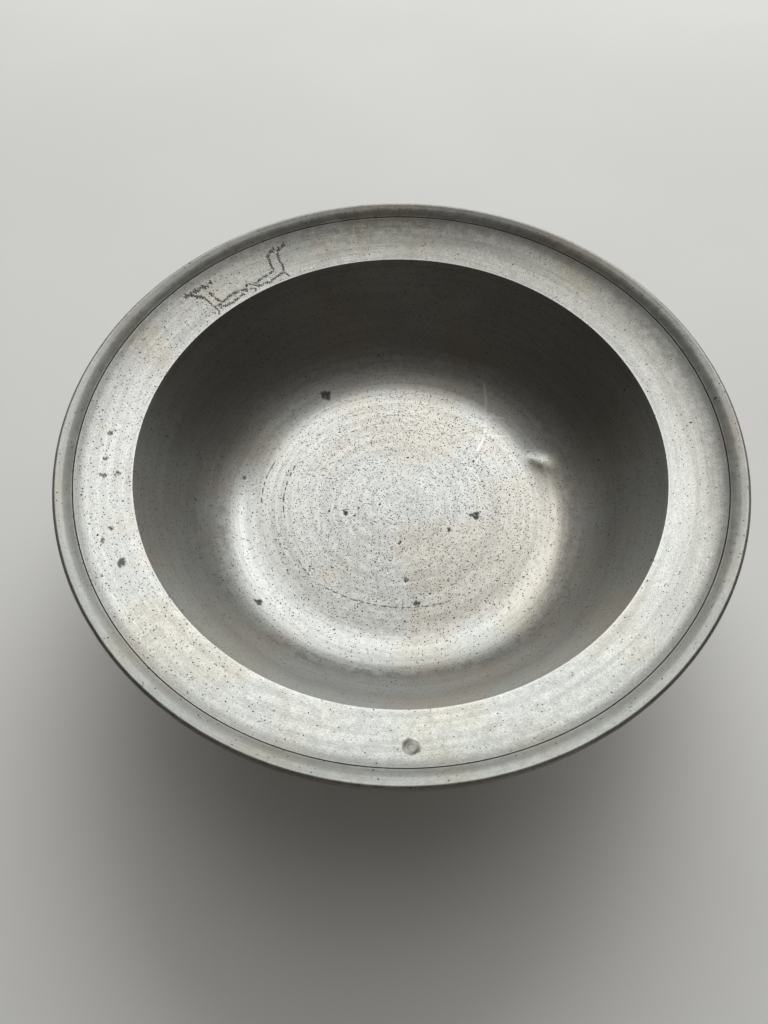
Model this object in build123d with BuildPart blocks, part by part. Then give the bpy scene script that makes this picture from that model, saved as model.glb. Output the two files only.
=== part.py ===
# Pewter bowl with a broad dished brim, a rounded edge moulding and a foot ring, soldered together.
# Millimetres, +Z up, origin on the standing surface at the middle of the foot ring.
from build123d import *
import os
from math import atan2, copysign, cos, hypot, radians, sin, sqrt, tan

# Heights, upwards from the standing surface
foot_height = 8.5
floor_thickness = 2.4
well_depth = 38.3
brim_rise = 6.6
moulding_height = 2.55

# Widths, inwards from the outer edge
rim_diameter = 220.0
moulding_width = 5.7
brim_width = 16.4

# Brim: its sheet, the sag of its dished face and the rebate that takes the moulding
brim_thickness = 2.0
brim_dish = 0.5
rebate_depth = 0.9
rebate_width = 2.3

# Bowl: its leaning wall, the round bouge above the floor and the flange under the brim
wall_angle = 66.0
wall_thickness = 2.0
bouge_radius = 30.0
flange_width = 6.0
flange_thickness = 1.8
flange_round = 2.0

# Edge moulding: the open seam inside it, its sloping lip, the round of its crest and its skirt
seam_gap = 0.25
lip_width = 1.8
lip_angle = 24.0
crest_round = 1.0
skirt_drop = 1.2

# Foot ring: its place under the floor, its section and the shallow recess that locates it
foot_inset = 1.5
foot_thickness = 4.0
foot_splay = 2.0
foot_band = 2.2
foot_collar = 1.8
foot_edge_chamfer = 0.6
foot_sweep_hollow = 0.4
seat_depth = 0.5

# Plug in the old hanging hole at the front of the brim
plug_diameter = 4.4
plug_inset = 5.7
plug_azimuth = -89.4

# Solder: the gap left for it between the pieces and the beads that it leaves in the corners
solder_gap = 0.1
solder_leg = 1.0

# Radii and heights that follow
rim_radius = rim_diameter / 2
seam_radius = rim_radius - moulding_width
mouth_radius = seam_radius - brim_width
floor_top = foot_height + floor_thickness
mouth_height = floor_top + well_depth
seam_height = mouth_height + brim_rise
crest_height = seam_height + moulding_height
wall_run = 1 / tan(radians(wall_angle))

# The brim's upper face is one shallow arc, from the mouth to the seam and on under the moulding
brim_slope = atan2(brim_rise, brim_width)
brim_chord = hypot(brim_rise, brim_width)
brim_drop = brim_thickness / cos(brim_slope)
dish_radius = (brim_chord**2 / 4 + brim_dish**2) / (2 * brim_dish)
dish_lift = dish_radius - brim_dish
dish_centre_radius = (mouth_radius + seam_radius) / 2 - dish_lift * sin(brim_slope)
dish_centre_height = (mouth_height + seam_height) / 2 + dish_lift * cos(brim_slope)


def brim_height(radius):
    """Height of the brim's upper face at a distance from the middle."""
    return dish_centre_height - sqrt(dish_radius**2 - (radius - dish_centre_radius) ** 2)


def dished_arc(first_radius, last_radius, drop):
    """Arc that follows the brim's upper face between two radii, a given drop below it."""
    radii = (first_radius, (first_radius + last_radius) / 2, last_radius)
    return ThreePointArc(*[(radius, brim_height(radius) - drop) for radius in radii])


def write(piece, name):
    """Label a finished piece and write its file."""
    piece.label = name
    export_step(piece, f"parts/{name}.step")


def write_bead(name, wall_radius, along, level=None):
    """Solder bead in the corner between an upright wall and a level face, or else the brim's underside.

    Its section is a triangle. It reaches from the wall by the distance along, inwards where negative.
    """
    start_radius = wall_radius + copysign(solder_gap, along)
    end_radius = start_radius + along
    tops = [brim_height(r) - brim_drop if level is None else level for r in (start_radius, end_radius)]
    corner = (start_radius, tops[0] - solder_gap)
    with BuildPart() as bead:
        with BuildSketch(Plane.XZ):
            with BuildLine():
                Polyline(
                    corner,
                    (end_radius, tops[1] - solder_gap),
                    (start_radius, corner[1] - solder_leg),
                    close=True,
                )
            make_face()
        revolve(axis=Axis.Z)
    write(bead.part, name)


os.makedirs("parts", exist_ok=True)

# Brim: a dished ring with an inner edge that leans as the wall does, an outer rebate and the old hole
lower_mouth = mouth_radius - brim_drop * wall_run
brim_edge_radius = seam_radius + rebate_width
plug_radius = plug_diameter / 2
plug_circle = seam_radius - plug_inset

with BuildPart() as brim_ring:
    with BuildSketch(Plane.XZ):
        with BuildLine():
            face = dished_arc(mouth_radius, seam_radius, 0)
            ledge = dished_arc(seam_radius, brim_edge_radius, rebate_depth)
            underside = dished_arc(lower_mouth, brim_edge_radius, brim_drop)
            Line(face @ 1, ledge @ 0)
            Line(ledge @ 1, underside @ 1)
            Line(underside @ 0, face @ 0)
        make_face()
    revolve(axis=Axis.Z)

with BuildPart() as brim:
    add(brim_ring.part)
    with BuildSketch():
        with PolarLocations(plug_circle, 1, plug_azimuth):
            Circle(plug_radius + solder_gap)
    extrude(amount=crest_height, mode=Mode.SUBTRACT)
write(brim.part, "brim")

# Plug: a short peg that stops the hole, flush with both faces of the brim
with BuildPart() as hanging_hole_plug:
    with BuildSketch():
        with PolarLocations(plug_circle, 1, plug_azimuth):
            Circle(plug_radius)
    extrude(amount=crest_height)
    add(brim_ring.part, mode=Mode.INTERSECT)
write(hanging_hole_plug.part, "hanging_hole_plug")

# Bowl: floor, bouge and wall in one, with a flange turned out under the brim
wall_shift = wall_thickness / sin(radians(wall_angle))
bowl_mouth = mouth_radius - (brim_drop + solder_gap) * wall_run
wall_top = brim_height(bowl_mouth) - brim_drop - solder_gap
floor_corner = (bowl_mouth - (wall_top - floor_top) * wall_run, floor_top)
base_corner = (bowl_mouth + wall_shift - (wall_top - foot_height) * wall_run, foot_height)
floor_radius = floor_corner[0] - bouge_radius * tan(radians(wall_angle) / 2)
flange_radius = mouth_radius + flange_width
flange_drop = brim_drop + solder_gap + flange_thickness
flange_joint = bowl_mouth + wall_shift
foot_outer = floor_radius - foot_inset
foot_inner = foot_outer - foot_thickness

with BuildPart() as bowl:
    with BuildSketch(Plane.XZ):
        with BuildLine():
            flange_top = dished_arc(bowl_mouth, flange_radius, brim_drop + solder_gap)
            flange_under = dished_arc(flange_joint, flange_radius, flange_drop)
            inside = FilletPolyline((0, floor_top), floor_corner, flange_top @ 0, radius=bouge_radius)
            outside = FilletPolyline(
                (0, foot_height), base_corner, flange_under @ 0, radius=bouge_radius + wall_thickness
            )
            Line(flange_top @ 1, flange_under @ 1)
            Line(inside @ 0, outside @ 0)
        make_face()
        under_flange = vertices().sort_by_distance(flange_under @ 0)[0]
        fillet(under_flange, flange_round)
    revolve(axis=Axis.Z)
    with BuildSketch(Plane.XY.offset(foot_height)):
        Circle(foot_outer + solder_gap)
        Circle(foot_inner - solder_gap, mode=Mode.SUBTRACT)
    extrude(amount=seat_depth, mode=Mode.SUBTRACT)
write(bowl.part, "bowl")

# Edge moulding: an angle-shaped ring over the brim's rebate, with a steep band, a lip and a rounded edge
skirt_radius = brim_edge_radius + solder_gap
skirt_bottom = brim_height(brim_edge_radius) - brim_drop - skirt_drop
skirt_round = (crest_height - skirt_bottom) / 2
band_radius = seam_radius + seam_gap
band_start = (band_radius, brim_height(band_radius))
lip_run = (cos(radians(lip_angle)), sin(radians(lip_angle)))
lip_end = (
    rim_radius - crest_round * (1 + lip_run[1]),
    crest_height - crest_round * (1 - lip_run[0]),
)
band_end = (lip_end[0] - lip_width, lip_end[1] - lip_width * tan(radians(lip_angle)))
edge_top = (rim_radius, crest_height - crest_round)
edge_bottom = (rim_radius, skirt_bottom + skirt_round)
skirt_edge = (rim_radius - skirt_round, skirt_bottom)

with BuildPart() as rim_moulding:
    with BuildSketch(Plane.XZ):
        with BuildLine():
            seat = dished_arc(band_radius, skirt_radius, rebate_depth - solder_gap)
            Polyline(seat @ 0, band_start, band_end, lip_end)
            TangentArc(lip_end, edge_top, tangent=lip_run)
            Line(edge_top, edge_bottom)
            TangentArc(edge_bottom, skirt_edge, tangent=(0, -1))
            Polyline(skirt_edge, (skirt_radius, skirt_bottom), seat @ 1)
        make_face()
    revolve(axis=Axis.Z)
write(rim_moulding.part, "rim_moulding")

# Foot ring: a cast ring, let into the recess under the floor and swept out to a level standing edge
foot_top = foot_height + seat_depth - solder_gap
foot_edge = foot_outer + foot_splay

with BuildPart() as foot_ring:
    with BuildSketch(Plane.XZ):
        with BuildLine():
            sweep_start = (foot_edge, foot_band)
            sweep_end = (foot_outer, foot_height - foot_collar)
            Polyline(
                (foot_inner, foot_top),
                (foot_inner, 0),
                (foot_edge - foot_edge_chamfer, 0),
                (foot_edge, foot_edge_chamfer),
                sweep_start,
            )
            SagittaArc(sweep_start, sweep_end, foot_sweep_hollow)
            Polyline(sweep_end, (foot_outer, foot_top), (foot_inner, foot_top))
        make_face()
    revolve(axis=Axis.Z)
write(foot_ring.part, "foot_ring")

# Solder beads: two under the brim, against the flange and the skirt, and two in the foot ring's corners
write_bead("brim_solder", flange_radius, solder_leg)
write_bead("rim_solder", skirt_radius, -solder_leg)
write_bead("foot_solder_outer", foot_outer, solder_leg, foot_height)
write_bead("foot_solder_inner", foot_inner, -solder_leg, foot_height)
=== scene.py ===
"""Looks of a pewter bowl with a broad dished brim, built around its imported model.

Each piece is a turned surface: an outline in (radius, height) carried round the upright axis, with relief
along its normals. Lengths are millimetres until a mesh is made. Azimuths are degrees from +X towards +Y.
"""
from types import SimpleNamespace

import bmesh
import bpy
import numpy as np
from mathutils import Matrix, Vector


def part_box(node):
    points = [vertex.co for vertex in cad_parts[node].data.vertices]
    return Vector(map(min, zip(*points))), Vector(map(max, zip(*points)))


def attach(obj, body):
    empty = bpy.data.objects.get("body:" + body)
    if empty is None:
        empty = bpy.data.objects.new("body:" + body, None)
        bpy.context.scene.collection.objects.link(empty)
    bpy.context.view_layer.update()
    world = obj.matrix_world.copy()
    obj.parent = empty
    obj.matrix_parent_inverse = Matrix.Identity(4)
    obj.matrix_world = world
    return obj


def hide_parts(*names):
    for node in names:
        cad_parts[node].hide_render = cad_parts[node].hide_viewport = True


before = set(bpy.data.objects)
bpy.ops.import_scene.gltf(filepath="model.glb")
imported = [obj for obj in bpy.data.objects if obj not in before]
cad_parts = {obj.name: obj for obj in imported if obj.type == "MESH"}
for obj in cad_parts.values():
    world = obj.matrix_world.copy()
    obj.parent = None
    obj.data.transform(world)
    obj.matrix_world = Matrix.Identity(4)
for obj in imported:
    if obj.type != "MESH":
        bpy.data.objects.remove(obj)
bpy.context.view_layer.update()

MM = 0.001


def extent(node):
    """Outer radius, lowest height and highest height of a round part of the frame, in millimetres."""
    low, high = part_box(node)
    return high.x / MM, low.z / MM, high.z / MM


# Sizes read from the frame
flange_radius, foot_height, _ = extent("bowl")
brim_edge, _, _ = extent("brim")
rim_radius, skirt_bottom, crest_height = extent("rim_moulding")
foot_edge, _, foot_top = extent("foot_ring")
plug_low, plug_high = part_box("hanging_hole_plug")
plug_centre = np.array((plug_low + plug_high).xy) / 2 / MM
plug_radius = (plug_high.x - plug_low.x) / 2 / MM

# Bowl: its floor, leaning wall, the round bouge between them and the flange under the brim, with the drops
# below the flange where the wall bends out to it
floor_thickness = 2.4
well_depth = 38.3
wall_angle = np.radians(66.0)
wall_thickness = 2.0
bouge_radius = 30.0
flange_thickness = 1.8
flange_round = 2.0
neck_drop = 0.8
knee_drop = 0.5

# Brim: its width and rise, the sag of its dished face and the rebate that takes the moulding
brim_width = 16.4
brim_rise = 6.6
brim_thickness = 2.0
brim_dish = 0.5
rebate_depth = 0.9
rebate_width = 2.3

# Edge moulding, foot ring and solder, and the hair's breadth between the bowl's flange and the brim
seam_gap = 0.25
lip_width = 1.8
lip_angle = np.radians(24.0)
crest_round = 1.0
foot_thickness = 4.0
foot_splay = 2.0
foot_band = 2.2
foot_collar = 1.8
foot_chamfer = 0.6
foot_hollow = 0.4
seat_depth = 0.5
solder_gap = 0.1
solder_leg = 1.0
hair_gap = 0.03

# Radii and heights that follow
seam_radius = brim_edge - rebate_width
mouth_radius = seam_radius - brim_width
skirt_radius = brim_edge + solder_gap
floor_top = foot_height + floor_thickness
mouth_height = floor_top + well_depth
seam_height = mouth_height + brim_rise
foot_outer = foot_edge - foot_splay
foot_inner = foot_outer - foot_thickness
wall_run = 1 / np.tan(wall_angle)

# The brim's upper face is one shallow arc through the mouth and the seam
brim_slope = np.arctan2(brim_rise, brim_width)
brim_drop = brim_thickness / np.cos(brim_slope)
dish_radius = (np.hypot(brim_rise, brim_width) ** 2 / 4 + brim_dish**2) / (2 * brim_dish)
dish_lift = dish_radius - brim_dish
dish_centre_radius = (mouth_radius + seam_radius) / 2 - dish_lift * np.sin(brim_slope)
dish_centre_height = (mouth_height + seam_height) / 2 + dish_lift * np.cos(brim_slope)

# How finely outlines and circles are cut, and how far below a face its rows may lie
WALK_STEP = 0.02
BEND_STEPS = 9
ROW_TURN = np.radians(14.0)
ARC_POINTS = 240
TURN_STEPS = 72000
face_margin = 0.4

chance = np.random.default_rng(7)


def brim_height(radius):
    """Height of the brim's upper face at a distance from the axis."""
    return dish_centre_height - np.sqrt(dish_radius**2 - (radius - dish_centre_radius) ** 2)


def dished(first_radius, last_radius, drop):
    """Points along the brim's upper face between two radii, a given drop below it."""
    radius = np.linspace(first_radius, last_radius, ARC_POINTS)
    return np.stack([radius, brim_height(radius) - drop], 1)


def arc(centre, radius, first, last):
    """Points on a circle, with angles in radians from the outward direction towards up."""
    angle = np.linspace(first, last, ARC_POINTS)
    return np.stack([centre[0] + radius * np.cos(angle), centre[1] + radius * np.sin(angle)], 1)


def bend(first, corner, last):
    """Points on the curve (1-t)^2 first + 2t(1-t) corner + t^2 last, which rounds a corner off."""
    share = np.linspace(0, 1, ARC_POINTS)[:, None]
    return (1 - share) ** 2 * first + 2 * share * (1 - share) * corner + share**2 * last


def smooth_step(value):
    """0 below 0, 1 above 1 and the cubic 3t^2 - 2t^3 between."""
    share = np.clip(value, 0, 1)
    return share * share * (3 - 2 * share)


def bell(distance, half_width):
    """1 at no distance, falling off to both sides as exp(-(distance / half width)^2)."""
    return np.exp(-((distance / half_width) ** 2))


def turn_between(first, last):
    """Signed angle in degrees from last to first, the short way round."""
    return (first - last + 180) % 360 - 180


def turned_rows(outline, softness, spacing, closed=True):
    """Rows of a turned piece, cut from its outline.

    The outline is walked at even steps and averaged over a sliding window as wide as the softness, which
    rounds its corners. The rows then lie as far apart as spacing(radius, height) says, and closer where the
    outline bends, because its bend over ROW_TURN is added to the reciprocal of the spacing and the sum is cut
    evenly.
    """
    corners = np.asarray(outline, float)
    if closed:
        ahead = np.roll(corners, -1, axis=0)
        if (corners[:, 0] * ahead[:, 1] - ahead[:, 0] * corners[:, 1]).sum() < 0:
            corners = corners[::-1]
        corners = np.vstack([corners, corners[:1]])
    walked = np.append(0, np.cumsum(np.hypot(*np.diff(corners, axis=0).T)))
    along = np.linspace(0, walked[-1], round(walked[-1] / WALK_STEP) + 1)
    even = np.stack([np.interp(along, walked, line) for line in corners.T])
    half = round(softness / 2 / WALK_STEP)
    window = np.hanning(2 * half + 3)[1:-1]
    window /= window.sum()
    edges = ((0, 0), (half + 1, half + 1))
    if closed:
        along = along[:-1]
        padded = np.pad(even[:, :-1], edges, mode="wrap")
    else:
        padded = np.pad(even, edges, mode="reflect", reflect_type="odd")
    wide = np.stack([np.convolve(line, window, "valid") for line in padded])
    radius, height = wide[:, 1:-1]
    across, rise = (wide[:, 2:] - wide[:, :-2]) / 2
    heading = np.unwrap(np.arctan2(rise, across))
    bending = np.convolve(np.abs(np.gradient(heading)), np.ones(BEND_STEPS) / BEND_STEPS, "same") / WALK_STEP
    share = np.cumsum(1 / spacing(radius, height) + bending / ROW_TURN)
    share -= share[0]
    count = int(np.ceil(share[-1] * WALK_STEP))
    stops = np.interp(np.linspace(0, share[-1], count + 1), share, along)
    if closed:
        stops = stops[:-1]
    values = [np.interp(stops, along, line) for line in (radius, height, np.sin(heading), -np.cos(heading))]
    return SimpleNamespace(radius=values[0], height=values[1], out=values[2], up=values[3], along=stops)


def spread_azimuths(wide, spots=()):
    """Azimuths all round, a wide step apart, and closer about each spot (azimuth, half width, step).

    A spot's step holds over its half width and grows by a third of the distance beyond it. The reciprocals of
    the steps are added up, and the sum is cut evenly.
    """
    fine = np.linspace(-180, 180, TURN_STEPS + 1)
    step = np.full_like(fine, wide)
    for azimuth, half_width, least in spots:
        beyond = np.maximum(np.abs(turn_between(fine, azimuth)) - half_width, 0)
        step = np.minimum(step, least + beyond / 3)
    share = np.cumsum(1 / step)
    share -= share[0]
    count = int(np.ceil(share[-1] * (fine[1] - fine[0])))
    return np.interp(np.arange(count) / count * share[-1], share, fine)


def turned_points(rows, azimuths, lift=0.0):
    """Grid of points, rows by azimuths: each row's circle, lifted along the outline's normal."""
    lift = np.broadcast_to(lift, (len(rows.radius), len(azimuths)))
    radius = rows.radius[:, None] + lift * rows.out[:, None]
    height = rows.height[:, None] + lift * rows.up[:, None]
    angle = np.radians(azimuths)[None, :]
    return np.stack([radius * np.cos(angle), radius * np.sin(angle), height], -1)


def turned_faces(shape, closed=True):
    """Outward quads of a grid that goes round in its columns, and in its rows too where it is closed.

    An open grid's first and last rows lie on the axis: their points are one each, and their faces triangles.
    """
    count, columns = shape
    index = np.arange(count * columns).reshape(shape)
    beside = np.roll(index, -1, axis=1)
    if closed:
        above = np.roll(index, -1, axis=0)
        quads = np.stack([index, beside, np.roll(above, -1, axis=1), above], -1)
        return quads.reshape(-1, 4).tolist()
    inner = slice(1, count - 2)
    quads = np.stack([index[inner], beside[inner], beside[2:-1], index[2:-1]], -1).reshape(-1, 4)
    first = np.stack([np.zeros_like(index[1]), beside[1], index[1]], -1)
    last = np.stack([index[-2], beside[-2], np.full_like(index[-2], index[-1, 0])], -1)
    return quads.tolist() + first.tolist() + last.tolist()


def add_piece(name, points, faces, material, node, slot, **attributes):
    """Mesh object from a grid of points in millimetres, with a number for each point in each attribute."""
    used = np.unique(np.concatenate([np.ravel(face) for face in faces]))
    fresh = np.full(points[..., 0].size, -1)
    fresh[used] = np.arange(len(used))
    mesh = bpy.data.meshes.new(name)
    mesh.from_pydata(points.reshape(-1, 3)[used] * MM, [], [fresh[face].tolist() for face in faces])
    mesh.shade_smooth()
    for label, values in attributes.items():
        layer = mesh.attributes.new(label, "FLOAT", "POINT")
        spread = np.broadcast_to(values, points.shape[:-1]).reshape(-1)
        layer.data.foreach_set("value", spread[used].astype(np.float32))
    mesh.materials.append(material)
    piece = bpy.data.objects.new(name, mesh)
    bpy.context.scene.collection.objects.link(piece)
    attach(piece, "root")
    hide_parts(node)
    return piece


# Relief, and the height of the slight unevenness of hand work
unevenness = 0.03


def ripple(azimuths, along, orders, lengths, count):
    """Gentle unevenness between -1 and 1: the mean of cosines that go round and along with random orders."""
    total = np.zeros((len(along), len(azimuths)))
    for _ in range(count):
        order = chance.integers(*orders, endpoint=True)
        pitch = chance.uniform(*lengths) * chance.choice((-1, 1))
        phase = chance.uniform(0, 2 * np.pi)
        total += np.cos(order * np.radians(azimuths)[None, :] + 2 * np.pi * along[:, None] / pitch + phase)
    return total / count


def offsets_from(rows, azimuths, radius, azimuth, face):
    """Distances round the piece and along its outline from a place on one of its faces."""
    row = np.argmin(np.where(face, np.abs(rows.radius - radius), np.inf))
    around = np.radians(turn_between(azimuths, azimuth))[None, :] * rows.radius[:, None]
    outward = (rows.along[row] - rows.along)[:, None]
    return around, outward


def ragged_spot(around, outward, width):
    """1 inside a spot and 0 outside its ragged edge, whose radius varies as two cosines of the angle."""
    angle = np.arctan2(outward, around)
    first, second = chance.uniform(0, 2 * np.pi, 2)
    edge = 1 + 0.28 * np.cos(2 * angle + first) + 0.16 * np.cos(3 * angle + second)
    return smooth_step(1.5 - 1.2 * np.hypot(around, outward) / (width * edge))


# Pits of a corroded patch: how many, how far they scatter and how wide they are, as shares of its width
patch_pits, patch_scatter, patch_sizes = 9, 0.45, (0.22, 0.5)


def pitted_patch(around, outward, width):
    """1 in the pits of a corroded patch and 0 outside: the highest of some ragged spots about its middle."""
    depth = np.zeros(np.broadcast(around, outward).shape)
    for _ in range(patch_pits):
        across, out = chance.normal(0, patch_scatter * width, 2)
        pit = ragged_spot(around - across, outward - out, chance.uniform(*patch_sizes) * width)
        depth = np.maximum(depth, pit)
    return depth


def stroke_distance(across, out, path):
    """Distance of every point (across, out) from a path of straight runs."""
    start, run = path[:-1], np.diff(path, axis=0)
    square = (run**2).sum(1)
    nearest = np.full(across.shape, np.inf)
    for (x, y), (dx, dy), size in zip(start, run, square):
        share = np.clip(((across - x) * dx + (out - y) * dy) / size, 0, 1)
        nearest = np.minimum(nearest, np.hypot(across - x - share * dx, out - y - share * dy))
    return nearest


def wriggled(points, swing, pitch):
    """Zigzag of a rocked graver along a path: it swings to both sides in each pitch, now wide, now narrow."""
    runs = np.hypot(*np.diff(points, axis=0).T)
    walked = np.append(0, np.cumsum(runs))
    stops = np.arange(0, walked[-1] + pitch / 4, pitch / 2)
    middle = np.stack([np.interp(stops, walked, line) for line in points.T], 1)
    heading = np.gradient(middle, axis=0)
    heading /= np.linalg.norm(heading, axis=1)[:, None]
    side = np.stack([-heading[:, 1], heading[:, 0]], 1)
    swings = np.where(np.arange(len(stops)) % 2, swing, -swing) * chance.uniform(0.4, 1.3, len(stops))
    return middle + side * swings[:, None]


# Painted shade on the well's far side: how dark it is, and the sines of the azimuths where it starts and is
# full
far_shade_strength = 0.46
far_shade_start, far_shade_full = -0.1, 0.4


def far_side(azimuths):
    """Share of painted shade by azimuth: 0 on the near side, 1 round the far side."""
    share = (np.sin(np.radians(azimuths)) - far_shade_start) / (far_shade_full - far_shade_start)
    return smooth_step(share)[None, :]


# Bowl

def bowl_outline():
    """Outline of the bowl, from the axis under the floor, up the outside and down the inside to the axis."""
    wall_shift = wall_thickness / np.sin(wall_angle)
    bowl_mouth = mouth_radius - (brim_drop + solder_gap) * wall_run
    wall_top = brim_height(bowl_mouth) - brim_drop - solder_gap
    half_turn = np.tan(wall_angle / 2)
    outer_round = bouge_radius + wall_thickness
    floor_radius = bowl_mouth - (wall_top - floor_top) * wall_run - bouge_radius * half_turn
    base_radius = bowl_mouth + wall_shift - (wall_top - foot_height) * wall_run - outer_round * half_turn
    down = -np.pi / 2
    inside = arc((floor_radius, floor_top + bouge_radius), bouge_radius, down + wall_angle, down)
    outside = arc((base_radius, foot_height + outer_round), outer_round, down, down + wall_angle)
    flange_drop = brim_drop + solder_gap + flange_thickness
    under = dished(bowl_mouth + wall_shift + flange_round, flange_radius, flange_drop)
    top = dished(flange_radius, mouth_radius - brim_drop * wall_run + hair_gap, brim_drop + hair_gap)
    seat = [
        (foot_inner - solder_gap, foot_height),
        (foot_inner - solder_gap, foot_height + seat_depth),
        (foot_outer + solder_gap, foot_height + seat_depth),
        (foot_outer + solder_gap, foot_height),
    ]
    neck = under[0] - np.array((flange_round + wall_run * flange_round, flange_round + neck_drop))
    knee = np.array((bowl_mouth + wall_shift, under[0, 1] - knee_drop))
    return np.vstack([
        (0, foot_height), seat, outside, bend(neck, knee, under[0]), under, top, inside, (0, floor_top),
    ])


# Worn places on the bowl's inside: pitted patches (radius, azimuth, width, depth)
pits = [
    (58.4, 119.7, 2.3, 0.4),
    (60.0, 169.9, 0.9, 0.25),
    (20.6, -167.1, 1.1, 0.25),
    (29.4, -11.9, 1.7, 0.35),
    (22.3, -33.4, 0.9, 0.2),
    (17.1, -88.8, 0.8, 0.2),
    (32.4, -86.1, 0.9, 0.2),
    (42.0, -82.0, 1.0, 0.3),
    (64.1, -139.9, 1.1, 0.3),
]
pit_grime = 0.9

# Broken scored circles: first and last azimuth, then the radius at the start, the middle and the end
scored_arcs = [
    (155.0, 190.0, 43.1, 43.7, 43.2),
    (158.0, 183.0, 51.4, 52.2, 51.8),
    (-133.0, -64.0, 44.5, 42.7, 44.6),
    (-149.0, -136.0, 43.6, 44.2, 44.5),
]
score_width, score_depth, score_wander = 0.2, 0.04, 0.12
score_grime = 0.95

# A long dent that was knocked in from outside, and the strokes of a scratch, each through (radius, azimuth)
dent_radius, dent_azimuth = 57.6, 17.4
dent_bearing = np.radians(140.0)
dent_length, dent_width, dent_rise = 5.0, 3.0, 0.95
# How much of the far side's painted shade is left off the dent, so that the dent is painted lighter than its
# surroundings
dent_unshaded = 0.8
scratch_strokes = [
    [(65.5, 56.2), (59.5, 51.6), (53.6, 47.4), (49.6, 43.6), (45.7, 40.3), (39.0, 35.9)],
    [(53.8, 47.5), (56.0, 44.4), (58.0, 41.4)],
    [(47.0, 40.7), (50.1, 36.9), (53.7, 33.7)],
]
scratch_width, scratch_depth = 0.4, 0.03

# Distances between the bowl's rows, how they grow beside a pit, and how far from each place they hold
pit_row, pit_growth, pit_reach = 0.4, 0.4, 0.7
score_row, score_reach = 0.2, 0.4
floor_row, floor_reach = 1.2, 9.0
wall_row, outside_row = 1.5, 2.4
bowl_softness = 0.06

# The widest step round the bowl in degrees, the step round a pit in millimetres, and stretches with closer
# steps (azimuth, half width, step): the dent, the scratch and the scored circles
bowl_turn = 2.2
pit_turn = np.radians(19.0)
close_stretches = [(dent_azimuth, 7.0, 0.6), (46.0, 11.5, 0.42), (-106.0, 43.0, 1.0), (172.0, 18.0, 1.0)]

# The unevenness dies out below the mouth, from this far down and over this height
calm_drop, calm_height = 3.0, 4.0

# Where the wall's film starts and over what height it thickens, the film outside, and the same for the far
# side's painted shade
film_start, film_height, outside_film = 0.5, 9.0, 0.6
far_shade_radius, far_shade_width = 49.0, 10.0

# Share of pepper-like pits on the wall, on the floor, under the far side's painted shade and outside, and the
# radius within which they thicken towards the middle
wall_pepper, floor_pepper, far_shade_pepper, outside_pepper = 0.4, 0.85, 0.2, 0.15
pepper_radius, pepper_width = 64.0, 30.0


def scored_circle(rows, azimuths, first, last, start, middle, end):
    """Strength of a broken scored line: a narrow bell about a radius that is a quadratic of the azimuth.

    The line wanders a little, fades at its ends over a twelfth of its length and is broken up by a ripple.
    """
    share = (turn_between(azimuths, (first + last) / 2) / (last - first)) + 0.5
    ends = start * (1 - share) * (1 - 2 * share) + end * share * (2 * share - 1)
    radius = ends + 4 * middle * share * (1 - share)
    radius = radius + score_wander * ripple(azimuths, np.zeros(1), (20, 50), (9, 10), 4)[0]
    drawn = smooth_step(12 * share) * smooth_step(12 * (1 - share))
    drawn *= smooth_step(2.6 * ripple(azimuths, np.zeros(1), (40, 150), (9, 10), 5)[0] + 0.7)
    return drawn * bell(rows.radius[:, None] - radius, score_width)


def dent_bell(rows, azimuths, inside):
    """Shape of the dent: exp(-(a/length)^2 - (b/width)^2), with a along its bearing and b across it."""
    around, outward = offsets_from(rows, azimuths, dent_radius, dent_azimuth, inside)
    lengthways = around * np.cos(dent_bearing) + outward * np.sin(dent_bearing)
    sideways = outward * np.cos(dent_bearing) - around * np.sin(dent_bearing)
    return np.exp(-((lengthways / dent_length) ** 2) - (sideways / dent_width) ** 2)


def scratch_lines(rows, azimuths, inside):
    """Strength of the scratch, seen from above: 1 along its strokes, and 0 from a little beside them."""
    angle = np.radians(azimuths)[None, :]
    across, out = rows.radius[:, None] * np.cos(angle), rows.radius[:, None] * np.sin(angle)
    strength = np.zeros_like(across)
    for places in scratch_strokes:
        radius, turn = np.array(places).T * [[1], [np.pi / 180]]
        path = np.stack([radius * np.cos(turn), radius * np.sin(turn)], 1)
        stroke = smooth_step(1.3 - stroke_distance(across, out, path) / scratch_width)
        strength = np.maximum(strength, stroke)
    return strength * inside[:, None]


def bowl_spacing(radius, height):
    """Distance between the bowl's rows: small at pits and scored circles, larger on the wall and outside."""
    pitted = np.array([place[0] for place in pits])
    near = np.min(np.abs(radius[:, None] - pitted), axis=1)
    fine = np.minimum(floor_row, pit_row + pit_growth * np.maximum(near - pit_reach, 0))
    for place in scored_arcs:
        scored = (radius > min(place[2:]) - score_reach) & (radius < max(place[2:]) + score_reach)
        fine = np.where(scored, score_row, fine)
    inner = height > floor_top - face_margin
    low = height < floor_top + floor_reach
    return np.where(inner & low, fine, np.where(inner & (radius < mouth_radius), wall_row, outside_row))


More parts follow.
